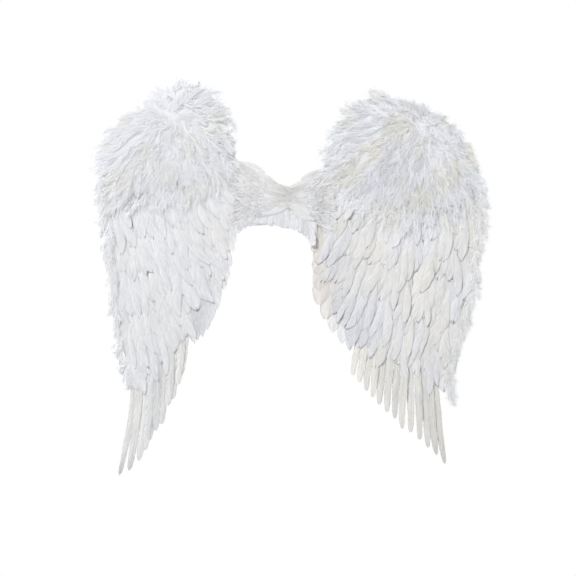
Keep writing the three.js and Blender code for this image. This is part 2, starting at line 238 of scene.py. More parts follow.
# How high the yoke's feathers stand over the sheet along x
YOKE_TOP = ((-110, -92, -83, -77, -45, 0, 44, 52, 66, 90), (4, 5.4, 7.2, 8.6, 11.6, 12, 11.2, 9.8, 6.8, 4.4))

# How grey single feathers of the yoke are, at random, and a patch of painted shade, greyer and creamier, in the
# middle of its upper half
YOKE_SHADE = (-0.5, 0.6)
YOKE_PAINTED_SHADE = dict(x=-1.0, wide=23.0, low=-1.0, fade=13.0, patchy=0.45, shade=0.62, tone=0.75)

# The yoke's pad: top and bottom edge along x
YOKE = dict(
    x=(-77.4, -62, -42, -26, -11, 10, 26, 40, 51.4),
    top=(63, 65, 57, 44, 35, 35, 47, 60, 60),
    bottom=(-35, -30, -30, -30, -31, -33, -39, -48, -53),
    thick=(7, 9, 11, 11, 11, 11, 11, 11, 9),
)

PAD_INSET = 1.2
PAD_VOXEL = 0.004
PAD_FRAMES = 20
PAD_MOST = 5.0

# Outline of each backing from the top down: z, inner edge, outer edge
BACKING = {
    "left": [
        (186, -140, -203),
        (164, -110, -240),
        (140, -102, -268),
        (110, -98, -294),
        (84, -96, -302),
        (66, -80, -304),
        (20, -78, -304),
        (-34, -78, -299),
        (-58, -98, -295),
        (-110, -108, -286),
        (-160, -124, -281),
        (-196, -156, -277),
        (-232, -196, -271),
        (-258, -238, -265),
    ],
    "right": [
        (182, 134, 178),
        (162, 108, 236),
        (136, 84, 272),
        (106, 74, 292),
        (84, 66, 306),
        (62, 52, 316),
        (10, 52, 324),
        (-52, 52, 319),
        (-80, 60, 313),
        (-120, 56, 310),
        (-160, 66, 305),
        (-196, 84, 294),
        (-230, 124, 284),
        (-256, 200, 276),
    ],
}
FELT_THICK = 2.0
FELT_ROUND = 0.9
FELT_ROWS = 130
FELT_COLUMNS = 44
FELT_FUZZ = 4500

# A strap seen from the side, from its upper sewn end to its lower one: z, and how far it lies off the backing
# there or, where it is free, its own y
STRAP = dict(width=20.0, thick=1.5, x=119.0, seat=0.4)
STRAP_RUN = (
    (42, 0, None),
    (58, 0, None),
    (72, 0, None),
    (84, 3, None),
    (110, None, 16),
    (130, None, 62),
    (114, None, 118),
    (62, None, 152),
    (0, None, 158),
    (-58, None, 142),
    (-98, None, 100),
    (-112, None, 50),
    (-98, None, 14),
    (-76, 3, None),
    (-64, 0, None),
    (-52, 0, None),
    (-38, 0, None),
)
STRAP_STEPS = 10
STRAP_COLUMNS = 33
STRAP_RIBS = 5
STRAP_RIB = 0.45
# Where its seams lie, measured along it from its start or, where negative, from its end
STRAP_SEAMS = ((4.0, 22.0), (-4.0, -22.0))
STRAP_STITCHES = 9

# Half width of a vane along a feather, as shares
VANE = {
    "covert": ((0, 0.1, 0.3, 0.5, 0.72, 0.86, 0.95, 1), (0.12, 0.55, 0.9, 1, 0.9, 0.64, 0.3, 0.0)),
    "flight": ((0, 0.12, 0.3, 0.5, 0.75, 0.9, 0.97, 1), (0.12, 0.5, 0.95, 1, 0.86, 0.74, 0.52, 0.1)),
    "blunt": ((0, 0.15, 0.3, 0.5, 0.8, 0.93, 0.985, 1), (0.12, 0.3, 0.7, 0.95, 1, 0.88, 0.52, 0.08)),
    "soft": ((0, 0.08, 0.25, 0.5, 0.75, 0.9, 1), (0.2, 0.5, 0.85, 1, 0.9, 0.62, 0.1)),
}


def lift(x, z):
    """Height of the wing sheet off the wearer."""
    outward = np.maximum(0.0, np.abs(x) - FLAT_HALF) / (SPREAD - FLAT_HALF)
    curl = np.where(z < 0, TIP_CURL * (z / TIP_DEPTH) ** 2, CREST_CURL * (z / CREST_HEIGHT) ** 2)
    return outward * (WING_LIFT - curl)


def on_wing(x, z, height):
    x, z, height = np.broadcast_arrays(np.asarray(x, float), np.asarray(z, float), np.asarray(height, float))
    return np.stack([x, -lift(x, z) - height, z], axis=-1)


def mix(a, b, share):
    return np.asarray(a, float) * (1 - share) + np.asarray(b, float) * share


def two_triangles(a, b, c, d):
    """Two triangles for every four corners."""
    return np.concatenate([np.stack([a, b, c], -1).reshape(-1, 3), np.stack([a, c, d], -1).reshape(-1, 3)])


class Pile:
    """Collects triangles and the values that the materials read, and makes one mesh of them."""

    VALUES = ("along", "across", "tone", "shade")

    def __init__(self):
        self.points = []
        self.values = {name: [] for name in self.VALUES}
        self.faces = []
        self.count = 0

    def add(self, points, faces, **values):
        number = len(points)
        self.points.append(points)
        for name in self.VALUES:
            self.values[name].append(np.broadcast_to(np.asarray(values.get(name, 0.0), float), (number,)))
        self.faces.append(np.asarray(faces, np.int64) + self.count)
        self.count += number

    def grid(self, points, **values):
        """A surface through points of shape (rows, columns, 3)."""
        rows, columns = points.shape[:2]
        at = np.arange(rows * columns).reshape(rows, columns)
        a, b, c, d = at[:-1, :-1], at[:-1, 1:], at[1:, 1:], at[1:, :-1]
        faces = two_triangles(a, b, c, d)
        flat = {k: np.broadcast_to(v, (rows, columns)).reshape(-1) for k, v in values.items()}
        self.add(points.reshape(-1, 3), faces, **flat)

    def ribbons(self, lines, widths, sides, **values):
        """Many thin ribbons at once: lines is (ribbons, steps, 3), widths (steps,), sides (ribbons, 3)."""
        number, steps = lines.shape[:2]
        half = widths[None, :, None] * sides[:, None, :] / 2
        points = np.stack([lines - half, lines + half], axis=2)
        start = (np.arange(number) * steps * 2)[:, None] + (np.arange(steps - 1) * 2)[None, :]
        a, b, c, d = start, start + 1, start + 3, start + 2
        faces = two_triangles(a, b, c, d)
        flat = {k: np.broadcast_to(v, (number, steps, 2)).reshape(-1) for k, v in values.items()}
        self.add(points.reshape(-1, 3), faces, **flat)

    def make(self, name, material, nodes):
        """The mesh object. It rides on the one body and stands for the CAD nodes."""
        points = np.concatenate(self.points) * MM
        faces = np.concatenate(self.faces)
        a, b, c = (points[faces[:, corner]] for corner in range(3))
        faces = faces[np.linalg.norm(np.cross(b - a, c - a), axis=1) / 2 > SMALLEST_FACE]
        used, faces = np.unique(faces, return_inverse=True)
        points, faces = points[used], faces.reshape(-1, 3)
        mesh = bpy.data.meshes.new(name)
        mesh.vertices.add(len(points))
        mesh.vertices.foreach_set("co", points.ravel())
        mesh.loops.add(faces.size)
        mesh.loops.foreach_set("vertex_index", faces.ravel())
        mesh.polygons.add(len(faces))
        mesh.polygons.foreach_set("loop_start", np.arange(0, faces.size, 3))
        mesh.polygons.foreach_set("use_smooth", np.ones(len(faces), bool))
        for value in self.VALUES:
            attribute = mesh.attributes.new(value, "FLOAT", "POINT")
            attribute.data.foreach_set("value", np.concatenate(self.values[value])[used])
        mesh.update(calc_edges=True)
        mesh.validate()
        mesh.materials.append(material)
        obj = bpy.data.objects.new(name, mesh)
        bpy.context.scene.collection.objects.link(obj)
        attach(obj, "root")
        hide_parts(*nodes)
        return obj


def turned(run, angle):
    """A flat vector turned by an angle in radians."""
    cos, sin = math.cos(angle), math.sin(angle)
    return np.array([run[0] * cos - run[1] * sin, run[0] * sin + run[1] * cos])


def feather(pile, rng, root, tip, width, height, shape, **form):
    """One feather: a raised shaft with a vane of slanted barbs on each side, parted here and there.
    height gives how far its shaft stands over the wing sheet, for a share of its length."""
    bend, sway = form.get("bend", 0.0), form.get("sway", 0.0)
    roll, camber = form.get("roll", 0.0), form.get("camber", 0.05)
    slant, ruffle = form.get("slant", 1.1), form.get("ruffle", 0.2)
    tone, shade = form.get("tone", 0.0), form.get("shade", 0.0)
    root, tip = np.asarray(root, float), np.asarray(tip, float)
    run = tip - root
    length = np.hypot(*run)
    ahead = run / length
    side = np.array([-ahead[1], ahead[0]])

    def shaft(u):
        swing = 4 * u * (1 - u) * bend + np.sin(2 * math.pi * u) * sway
        return root + np.outer(u, run) + np.outer(swing * length, side)

    def normal(u):
        turn = 4 * (1 - 2 * u) * bend + 2 * math.pi * np.cos(2 * math.pi * u) * sway
        across = side[None, :] - np.outer(turn, ahead)
        return across / np.linalg.norm(across, axis=1)[:, None]

    share, wide = VANE[shape]
    phase = rng.uniform(0, 2 * math.pi, 3)
    steps = np.array([0, 0.3, 0.6, 0.85, 1.0])
    for way in (-1, 1):
        cuts = np.sort(rng.uniform(0.35, 0.93, rng.integers(0, form.get("partings", 2) + 1)))
        ends = [0.02, *cuts, 1.0]
        for first, last in zip(ends[:-1], ends[1:]):
            number = max(3, int(round(form.get("stations", 22) * (last - first))) + 1)
            v = np.linspace(first, last, number)
            even = np.interp(v, share, wide) * width / 2
            ragged = rng.uniform(-1, 1, number) * form.get("rag", 0.02)
            half = even * (1 + 0.04 * np.sin(v * 23 + phase[0]) + ragged)
            gap = rng.uniform(*form.get("gap", (0.2, 0.8))) / length
            slip = np.zeros(number)
            if first > 0.02:
                slip += gap * np.exp(-(v - first) * 14)
            if last < 1:
                slip -= gap * np.exp(-(last - v) * 14)
            u = np.clip(v - slant * even / length, 0, 1)
            edge = np.clip(v + slip, 0, 1.01)
            inner = shaft(u)
            outer = shaft(edge) + way * normal(edge) * half[:, None]
            points = inner[:, None, :] * (1 - steps[None, :, None]) + outer[:, None, :] * steps[None, :, None]
            sweep = 0.12 * half[:, None] * (steps * (1 - steps))[None, :] * 4
            points = points + sweep[:, :, None] * (way * normal(u))[:, None, :]
            out = half[:, None] * steps[None, :]
            slow = np.sin(v[:, None] * length * RIPPLE[0] + phase[1])
            ripple = slow + 0.6 * np.sin(v[:, None] * length * RIPPLE[1] + phase[2])
            wave = ruffle * ripple * steps[None, :]
            rise = height(v)[:, None] - camber * out**2 / max(width, 1) * 2 + way * roll * out + wave
            grid = on_wing(points[..., 0], points[..., 1], rise)
            grey = shade + form.get("tip_shade", 0.0) * np.clip(2 * v[:, None] - 1, 0, 1) ** 4
            pile.grid(grid, along=v[:, None], across=way * steps[None, :], tone=tone, shade=grey)
    u = np.linspace(0, 0.97, 12)
    line, out = shaft(u), normal(u)
    thick = np.interp(u, (0, 0.3, 1), form.get("quill", (0.9, 0.6, 0.15)))
    top = on_wing(line[:, 0], line[:, 1], height(u) + thick * 0.5)
    left = on_wing(*(line - out * thick[:, None] / 2).T, height(u))
    right = on_wing(*(line + out * thick[:, None] / 2).T, height(u))
    pile.grid(np.stack([left, top, right], axis=1), along=u[:, None], across=0.0, tone=tone, shade=0.0)


def threads(pile, rng, start, heading, open_angle, climb, size, **form):
    """Many fine barbs at once. Each starts at a point (x, z, height), leaves its heading by an open angle that
    closes along it, and climbs off the wing sheet by an angle that fades along it."""
    number, steps = len(size), form.get("steps", 5)
    t = np.linspace(0, 1, steps)
    stride = size[:, None] / (steps - 1)
    turn = open_angle[:, None] * (1 - form.get("curl", 0.7) * t) + np.cumsum(
        rng.normal(0, form.get("wobble", 0.12), (number, steps)), axis=1
    )
    angle = heading[:, None] + turn
    rising = climb[:, None] * (1 - 0.9 * t)
    level = np.cos(rising)
    strides = np.stack([level * np.cos(angle), level * np.sin(angle), np.sin(rising)], axis=-1)
    strides = strides * stride[..., None]
    strides[:, 0] = 0
    path = start[:, None, :] + np.cumsum(strides, axis=1)
    path[..., 2] = np.maximum(path[..., 2], form.get("floor", SEAT))
    lines = on_wing(path[..., 0], path[..., 1], path[..., 2])
    flow = lines[:, -1] - lines[:, 0]
    front = np.stack([rng.normal(0, 0.3, number), -np.ones(number), rng.normal(0, 0.3, number)], axis=1)
    sides = np.cross(flow, front)
    sides /= np.linalg.norm(sides, axis=1)[:, None] + 1e-9
    widths = np.interp(t, (0, 0.6, 1), form.get("thread", (0.9, 0.75, 0.12)))
    values = {name: np.broadcast_to(form.get(name, 0.0), (number,))[:, None, None] for name in ("tone", "shade")}
    pile.ribbons(lines, widths, sides, along=0.5, across=t[None, :, None], **values)


def plume(pile, rng, root, tip, heights, reach, barbs, **form):
    """One tuft of down: fine barbs that leave a hidden stem to both sides and bend along it. heights are how far
    its root, its middle and its tip stand over the wing sheet."""
    root, tip = np.asarray(root, float), np.asarray(tip, float)
    run = tip - root
    length = np.hypot(*run)
    side = np.array([-run[1], run[0]]) / length
    bend = form.get("bend", 0.0)
    at = rng.uniform(0.0, 1.0, barbs) ** 0.85
    stem = root + np.outer(at, run) + np.outer(4 * at * (1 - at) * bend * length, side)
    height = np.interp(at, (0, 0.5, 1), heights) + rng.uniform(-1.0, 1.0, barbs)
    size = reach * np.interp(at, (0, 0.3, 0.75, 1), (0.75, 1, 0.85, 0.6)) * rng.uniform(0.65, 1.15, barbs)
    opening = np.radians(np.interp(at, (0, 1), form.get("open", (58, 16))) * rng.uniform(0.3, 1.25, barbs))
    way = rng.choice([-1.0, 1.0], barbs)
    climb = np.radians(rng.normal(form.get("up", 6), form.get("spread_up", 12), barbs))
    heading = math.atan2(run[1], run[0]) + 4 * (1 - 2 * at) * bend
    threads(
        pile,
        rng,
        np.column_stack([stem, height]),
        heading,
        opening * way,
        climb,
        size,
        **{name: form[name] for name in ("thread", "steps", "curl", "wobble", "tone", "shade") if name in form},
    )


def cream_share(x, z):
    """How creamy the feathers are around a place: soft patches over the wing."""
    wave = math.sin(x * 0.031 + 1.3) * math.sin(z * 0.027 + 0.6) + 0.5 * math.sin(x * 0.011 - z * 0.043)
    return min(1.0, max(0.0, 0.35 + 0.35 * wave))


def covert_row(side, number, row, rng):
    """A covert row: layers of feathers, each lying with one edge over its neighbour."""
    pile = Pile()
    mirror = SIGN[side]
    layers = COVERT_LAYERS + ((COVERT_SHORT,) if number >= COVERT_SHORT_FROM else ())
    for layer in layers:
        count = max(3, round(row["count"] * layer["fill"]))
        for i in range(count + 1):
            share = mix(*COVERT_ENDS[side], (i + rng.uniform(-0.3, 0.3)) / count)
            root = mix(row["root_in"], row["root_out"], share)
            run = mix(row["tip_in"], row["tip_out"], share) - root
            length = np.hypot(*run)
            back = rng.uniform(*layer["back"])
            if number == 1 or not 0.1 < share < 0.9:
                back = max(back, COVERT_LONG)
            tip = root + run * (1 - back) + rng.normal(0, 1.5, 2)
            start = tip - turned(run, math.radians(rng.normal(0, layer["swing"]))) * rng.uniform(0.84, 1.0)
            drop = float(np.dot(start - root, run) / length)
            reach = float(np.hypot(*(tip - start)))
            low = SEAT + layer["low"] + rng.uniform(-0.2, 0.4)
            curl = rng.uniform(-0.8, 0.8)
            inner = min(1.0, max(0.0, 1 - share / COVERT_INNER_REACH))

            def height(u, drop=drop, low=low, reach=reach, curl=curl):
                droop = COVERT_DROOP * np.clip((u - 0.8) / 0.2, 0, 1)
                rise = low + COVERT_SLOPE * np.maximum(0, drop + u * reach)
                return rise + curl * np.maximum(0, u - 0.7) * 2 - droop

            feather(
                pile,
                rng,
                start,
                tip,
                width=rng.uniform(*layer["width"]),
                height=height,
                shape="covert",
                bend=mirror * rng.uniform(-0.02, 0.06),
                sway=rng.normal(0, 0.02),
                roll=mirror * rng.uniform(*COVERT_ROLL[side]),
                ruffle=0.2,
                slant=2.2,
                gap=(0.3, 1.2),
                tone=cream_share(*tip) * rng.uniform(0.4, 1.4) * COVERT_CREAM[side],
                shade=rng.uniform(*COVERT_SHADE[side]) + inner * COVERT_INNER_SHADE[side],
            )
    name = f"{side}_{number}"
    return pile.make(f"feathers_covert_{name}", MATERIALS["covert"], [f"covert_row_{name}"])


def flight_feather(side, number, place, rng):
    tip, lean, length, bow = place
    pile = Pile()
    angle = math.radians(lean)
    root = (tip[0] - length * math.sin(angle), tip[1] + length * math.cos(angle))
    layer = ((number - 1) % 2) * 1.9
    mirror = SIGN[side]
    tip_shade, fades_over = FLIGHT_TIP_SHADE[side]

    def height(u):
        return SEAT + 0.7 + layer * np.minimum(1, u * length / 55) + np.maximum(0, u - 0.8) * 5

    feather(
        pile,
        rng,
        root,
        tip,
        width=FLIGHT_FIRST[side] if number == 1 else rng.uniform(*FLIGHT_WIDTH[side]),
        height=height,
        shape="flight",
        bend=bow,
        sway=rng.normal(0, 0.006),
        roll=mirror * rng.uniform(-0.1, 0.25),
        camber=0.1,
        partings=5,
        stations=60,
        slant=2.2,
        ruffle=0.3,
        rag=0.07,
        tone=rng.uniform(*FLIGHT_CREAM[side]),
        shade=rng.uniform(*FLIGHT_SHADE[side]),
        tip_shade=tip_shade * max(0.0, 1 - (number - 1) / fades_over),
        quill=(1.6, 1.2, 0.3),
    )
    name = f"{side}_{number:02d}"
    return pile.make(f"feather_flight_{name}", MATERIALS["flight"], [f"flight_feather_{name}"])


def inner_feathers(side, places, rng):
    """Soft feathers past the inner edge, the lowest first."""
    pile = Pile()
    for layer, (root, tip, width, grey) in enumerate(reversed(places)):

        def height(u, layer=layer):
            return SEAT + 0.3 + 0.22 * layer + 0.5 * u

        feather(
            pile,
            rng,
            root,
            tip,
            width=width,
            height=height,
            shape="soft",
            bend=SIGN[side] * rng.uniform(-0.04, 0.03),
            roll=SIGN[side] * rng.uniform(0.0, 0.05),
            partings=4,
            stations=30,
            slant=1.4,
            ruffle=0.25,
            tone=rng.uniform(*INNER_CREAM[side]) * np.interp(tip[1], *INNER_TINT[side]),
            shade=grey,
        )
    material = MATERIALS[INNER_MATERIAL[side]]
    return pile.make(f"feathers_inner_{side}", material, [f"inner_feathers_{side}"])


def down_patch(x, z):
    """How creamy the down is around a place: small soft patches."""
    wave = math.sin(x * 0.083 + 2.1) * math.sin(z * 0.071 + 0.9) + 0.6 * math.sin(x * 0.037 - z * 0.051 + 1.0)
    return min(1.0, max(0.0, 0.25 + 0.65 * wave))


def rim_shade(share, angle):
    """How much greyer the plumes get towards the upper rim: painted shade where the fluff thins out."""
    return 0.3 * max(0.0, (share - 0.75) / 0.25) * max(0.0, math.sin(angle))


def crest_reach(place, angle):
    """How far a crest reaches from its centre in a direction, smooth between the even steps of its table."""
    table = np.asarray(place["reach"], float)
    at = (np.asarray(angle) / (2 * math.pi) * len(table)) % len(table)
    step = np.floor(at).astype(int)
    t = at - step
    a, b, c, d = (table[(step + k) % len(table)] for k in (-1, 0, 1, 2))
    return b + 0.5 * t * (c - a + t * (2 * a - 5 * b + 4 * c - d + t * (3 * (b - c) + d - a)))


def crest_height(place, point):
    """How high the top of the down stands over the sheet at a point: a dome, full at the top of the wing, that
    thins out downwards where it lies on the coverts."""
    offset = np.asarray(point, float) - place["centre"]
    angle = np.arctan2(offset[..., 1], offset[..., 0])
    share = np.minimum(1, np.hypot(offset[..., 0], offset[..., 1]) / crest_reach(place, angle))
    down = np.clip(0.5 - 0.9 * np.sin(angle), 0, 1) * share
    return SEAT + 2 + CREST_OVER * down + CREST_THICK * (1 - share**2) ** (0.5 + 0.7 * down)


def crest_bed(pile, place):
    """The soft, lumpy bed under the loose down."""
    centre = np.array(place["centre"], float)
    turn = np.linspace(0, 2 * math.pi, 181)
    ring = np.array([0, 0.1, 0.2, 0.3, 0.4, 0.5, 0.6, 0.7, 0.8, 0.87, 0.92])
    far = ring[:, None] * (crest_reach(place, turn) * (1 - CREST_THIN * np.maximum(0, -np.sin(turn))))[None, :]
    points = centre + far[..., None] * np.stack([np.cos(turn), np.sin(turn)], -1)[None]
    x, z = points[..., 0], points[..., 1]
    lump = np.sin(x * 0.21 + 2 * np.sin(z * 0.07)) * np.sin(z * 0.17 + 1.5 * np.sin(x * 0.05))
    lump = lump * (1 - ring[:, None] ** 3)
    rise = np.maximum(SEAT + 0.2, crest_height(place, points) - 2 - 2.5 * ring[:, None] ** 4 + lump)
    pile.grid(on_wing(x, z, rise), along=0.0, across=0.0, tone=0.3, shade=0.0)


def crest(side, place, rng):
    pile = Pile()
    centre = np.array(place["centre"], float)
    source = np.array(place["source"], float)
    crest_bed(pile, place)
    for share, number in CREST_RINGS:
        for i in range(number):
            angle = 2 * math.pi * (i + rng.uniform(-0.45, 0.45)) / number
            out = np.array([math.cos(angle), math.sin(angle)])
            below = max(0.0, -math.sin(angle))
            far = share * (1 - CREST_THIN * below) * crest_reach(place, angle)
            middle = centre + far * rng.uniform(0.93, 1.02) * out + rng.normal(0, 2, 2)
            away = middle - source
            near = math.exp(-((np.hypot(*away) / 30) ** 2))
            flow = away / (np.hypot(*away) + 1e-6) + (0.0, -0.12)
            flow = turned(flow / np.hypot(*flow), rng.normal(0, 0.16 + 0.7 * near))
            length = rng.uniform(26, 38) * (1 - 0.35 * near) * (0.75 if share > 0.85 else 1)
            root, tip = middle - flow * length * 0.55, middle + flow * length * 0.45
            root_height, middle_height, tip_height = (crest_height(place, point) for point in (root, middle, tip))
            plume(
                pile,
                rng,
                root,
                tip,
                (root_height - 2, middle_height - 0.5, tip_height + rng.uniform(-0.5, 1)),
                reach=rng.uniform(13, 21) * (0.8 if share > 0.85 else 1),
                barbs=88,
                bend=rng.normal(0, 0.12),
                open=(50, 20),
                thread=(0.65, 0.5, 0.08),
                steps=4,
                curl=0.6,
                wobble=0.16,
                tone=down_patch(*middle) * DOWN_CREAM[side],
                shade=rng.uniform(*DOWN_SHADE[side]) * (1 - 0.5 * share) + rim_shade(share, angle),
                up=2 + 12 * near,
                spread_up=7,
            )
    crest_fringe(pile, place, DOWN_CREAM[side], rng)
    crest_rim(pile, place, rng)
    return pile.make(f"down_crest_{side}", MATERIALS["down"], [f"marabou_crest_{side}"])


def crest_fringe(pile, place, cream, rng):
    """Thin loose plumes that run out over the coverts, so that the down has no hard lower edge."""
    centre = np.array(place["centre"], float)
    for i in range(CREST_FRINGE):
        angle = math.radians(172 + 186 * (i + rng.uniform(-0.5, 0.5)) / CREST_FRINGE)
        out = np.array([math.cos(angle), math.sin(angle)])
        far = crest_reach(place, angle)
        root = centre + out * far * rng.uniform(0.55, 0.84)
        away = root - place["source"]
        flow = turned(away / np.hypot(*away), rng.normal(0, 0.2))
        tip = root + flow * rng.uniform(28, 48)
        plume(
            pile,
            rng,
            root,
            tip,
            (crest_height(place, root), SEAT + 7, SEAT + 6),
            reach=rng.uniform(16, 24),
            barbs=54,
            bend=rng.normal(0, 0.12),
            open=(50, 30),
            thread=(0.5, 0.4, 0.08),
            steps=5,
            curl=0.5,
            wobble=0.2,
            tone=down_patch(*tip) * cream,
            up=0,
            spread_up=6,
        )


def crest_rim(pile, place, rng):
    """Fine wisps that stand out all round the crest."""
    number = CREST_WISPS
    angle = rng.uniform(0, 2 * math.pi, number)
    angle += 0.03 * np.sin(angle * 37)
    out = np.stack([np.cos(angle), np.sin(angle)], -1)
    start = np.array(place["centre"]) + (crest_reach(place, angle) * rng.uniform(0.84, 0.95, number))[:, None] * out
    away = start - place["source"]
    heading = np.arctan2(away[:, 1], away[:, 0]) + rng.normal(0, 0.25, number)
    height = crest_height(place, start) + rng.uniform(-4, 0, number)
    threads(
        pile,
        rng,
        np.column_stack([start, height]),
        heading,
        rng.normal(0, 0.3, number),
        np.radians(rng.normal(0, 8, number)),
        rng.uniform(9, 19, number),
        thread=(0.8, 0.55, 0.1),
        tone=rng.uniform(0, 0.4, number),
        # Painted shade: the wisps all round the crest are greyer
        shade=0.2,
    )


def edge_trim(side, line, rng):
    """The down trim: short plumes that point down and outwards along the outer edge."""
    pile = Pile()
    xs, zs = np.array(line, float).T
    for i in range(EDGE_PLUMES):
        share = (i + rng.uniform(-0.5, 0.5)) / (EDGE_PLUMES - 1)
        z = mix(zs[0], zs[-1], share)
        wide = np.interp(share, *zip(*EDGE_WIDTH[side]))
        x = np.interp(-z, -zs, xs) - SIGN[side] * rng.uniform(0, 9) * wide
        aim = math.radians(-90 + SIGN[side] * rng.normal(16 - 8 * share, 9))
        root = np.array([x, z])
        tip = root + rng.uniform(18, 30) * (0.4 + 0.6 * wide) * np.array([math.cos(aim), math.sin(aim)])
        low = SEAT + mix(EDGE_LOW, mix(EDGE_HIGH[1], EDGE_HIGH[0], share), EDGE_LAYERS[i % len(EDGE_LAYERS)])
        plume(
            pile,
            rng,
            root,
            tip,
            (max(low - 1.5, SEAT), low, max(low - 1, SEAT)),
            reach=rng.uniform(10, 16) * (0.2 + 0.8 * wide),
            barbs=100,
            bend=rng.normal(0, 0.08),
            open=(60, 36),
            thread=(0.6, 0.45, 0.08),
            steps=4,
            curl=0.5,
            wobble=0.2,
            tone=rng.uniform(0, 0.7) * DOWN_CREAM[side],
            up=0,
            spread_up=11,
        )
    return pile.make(f"down_edge_{side}", MATERIALS["down"], [f"marabou_edge_{side}"])


def yoke_height(x):
    """How high the yoke's feathers stand: full over the pad, lower where they run out on to the wings."""
    return np.interp(x, *YOKE_TOP)


def painted_yoke_shade(points):
    """How much painted shade lies on the feathers at each point: most in the middle of the yoke's upper half."""
    x, z = points[:, 0], points[:, 2]
    patchy = 1 + YOKE_PAINTED_SHADE["patchy"] * np.sin(x * 0.62 + 1.7 * np.sin(z * 0.21)) * np.sin(z * 0.34 + 0.8)
    across = np.exp(-(((x - YOKE_PAINTED_SHADE["x"]) / YOKE_PAINTED_SHADE["wide"]) ** 2))
    return across * np.clip((z - YOKE_PAINTED_SHADE["low"]) / YOKE_PAINTED_SHADE["fade"], 0, 1) * patchy


def yoke_feathers(place, row, rng):
    """Feathers over the yoke, laid from its ends inwards, each layer over the one further out."""
    pile = Pile()
    lower = place == "lower"
    kind = "lower" if lower else "side"
    for layer, (out, number, wide) in enumerate(YOKE_LAYERS[kind]):
        for i in range(number + 1):
            share = np.clip((i + 0.5 * (layer % 2) + rng.uniform(-0.25, 0.25)) / number, 0.0, 1.0)
            margin = wide[1] / 2 / YOKE_FAN
            share = margin + (1 - 2 * margin) * share
            root = mix(row["root_in"], row["root_out"], share)
            arch = row.get("arch", 0) * (1 - (2 * share - 1) ** 4)
            tip = mix(row["tip_in"], row["tip_out"], share) + (0, arch)
            tip = tip + (0, 4 * row.get("bulge", 0) * out * (1 - out) * (1 - share))
            run = tip - root
            tip = tip - run * (1 - out) + rng.normal(0, 1.4, 2)
            size = rng.uniform(*row["size"]) / np.hypot(*run)
            start = tip - turned(run, math.radians(rng.normal(0, 6))) * min(1.0, size)
            low = 0.3 * layer - 0.1 if lower else 0.2 * layer

            def height(u, start=start, tip=tip, low=low):
                return yoke_height(mix(start, tip, u[:, None])[:, 0]) + low + 0.5 * u**2

            feather(
                pile,
                rng,
                start,
                tip,
                width=rng.uniform(*wide),
                height=height,
                shape="blunt" if lower else "covert",
                bend=rng.normal(0, 0.02 if lower else 0.05),
                sway=rng.normal(0, 0.004 if lower else 0.02),
                roll=(1 if lower else SIGN[place]) * rng.uniform(0.02, 0.1),
                ruffle=0.1,
                stations=18,
                slant=1.9,
                tone=rng.uniform(0, 0.2 if lower else 0.7),
                shade=rng.uniform(*YOKE_SHADE),
            )
    # Painted shade over the yoke's feathers: greyer and creamier in the middle of its upper half
    for value, size in (("shade", YOKE_PAINTED_SHADE["shade"]), ("tone", YOKE_PAINTED_SHADE["tone"])):
        pile.values[value] = [old + size * painted_yoke_shade(at) for old, at in zip(pile.values[value], pile.points)]
    return pile.make(f"feathers_yoke_{place}", MATERIALS["covert"], [f"yoke_feathers_{place}"])


def yoke_pad():
    """The padded yoke: a soft saddle with a flat back, blown up as cloth from a slightly smaller shape."""
    xs = np.linspace(YOKE["x"][0] + PAD_INSET, YOKE["x"][-1] - PAD_INSET, 40)
    top = np.interp(xs, YOKE["x"], YOKE["top"]) - PAD_INSET
    bottom = np.interp(xs, YOKE["x"], YOKE["bottom"]) + PAD_INSET
    thick = np.interp(xs, YOKE["x"], YOKE["thick"]) - PAD_INSET
    turn = np.linspace(0, 2 * math.pi, 41)
    middle, half = (top + bottom) / 2, (top - bottom) / 2
    cos, sin = np.cos(turn), np.sin(turn)
    z = middle[:, None] + half[:, None] * np.sign(cos) * np.abs(cos) ** 0.55
    h = thick[:, None] * (0.5 + 0.5 * np.sign(sin) * np.abs(sin) ** 0.55)
    pile = Pile()
    rows = on_wing(xs[:, None], z, h)
    pile.grid(rows)
    for end in (0, -1):
        rim = rows[end]
        hub = len(rim)
        pile.add(np.concatenate([rim, [rim.mean(0)]]), [[i, i + 1, hub] for i in range(hub - 1)])
    pad = pile.make("padded_yoke", MATERIALS["felt"], ["yoke_panel"])
    swell(pad)
    return pad


def swell(pad):
    """Blows the pad up as cloth, holds it inside its full size and keeps the result as its mesh."""
    remesh = pad.modifiers.new("remesh", "REMESH")
    remesh.mode = "VOXEL"
    remesh.voxel_size = PAD_VOXEL
    keep_result(pad)
    start = np.empty(len(pad.data.vertices) * 3)
    pad.data.vertices.foreach_get("co", start)
    start = start.reshape(-1, 3)
    cloth = pad.modifiers.new("cloth", "CLOTH")
    cloth.settings.use_pressure = True
    cloth.settings.uniform_pressure_force = 4.0
    cloth.settings.mass = 0.02
    cloth.settings.effector_weights.gravity = 0
    scene = bpy.context.scene
    for step in range(1, PAD_FRAMES + 1):
        scene.frame_set(step)
    keep_result(pad)
    scene.frame_set(1)
    full = np.empty(len(pad.data.vertices) * 3)
    pad.data.vertices.foreach_get("co", full)
    moved = full.reshape(-1, 3) - start
    far = np.linalg.norm(moved, axis=1)[:, None] + 1e-9
    full = start + moved * np.minimum(1, PAD_MOST * MM / far)
    for axis, edges in ((0, YOKE["x"]), (2, (min(YOKE["bottom"]), max(YOKE["top"])))):
        low, high = full[:, axis].min(), full[:, axis].max()
        full[:, axis] = np.interp(full[:, axis], (low, high), (edges[0] * MM, edges[-1] * MM))
    x, z = full[:, 0] / MM, full[:, 2] / MM
    full[:, 1] = np.minimum(full[:, 1], -lift(x, z) * MM)
    thick = np.interp(x, YOKE["x"], YOKE["thick"])
    full[:, 1] = np.maximum(full[:, 1], (-lift(x, z) - thick) * MM)
    pad.data.vertices.foreach_set("co", full.ravel())
    finer = pad.modifiers.new("finer", "SUBSURF")
    finer.levels = 1
    finer.render_levels = 1
    keep_result(pad)


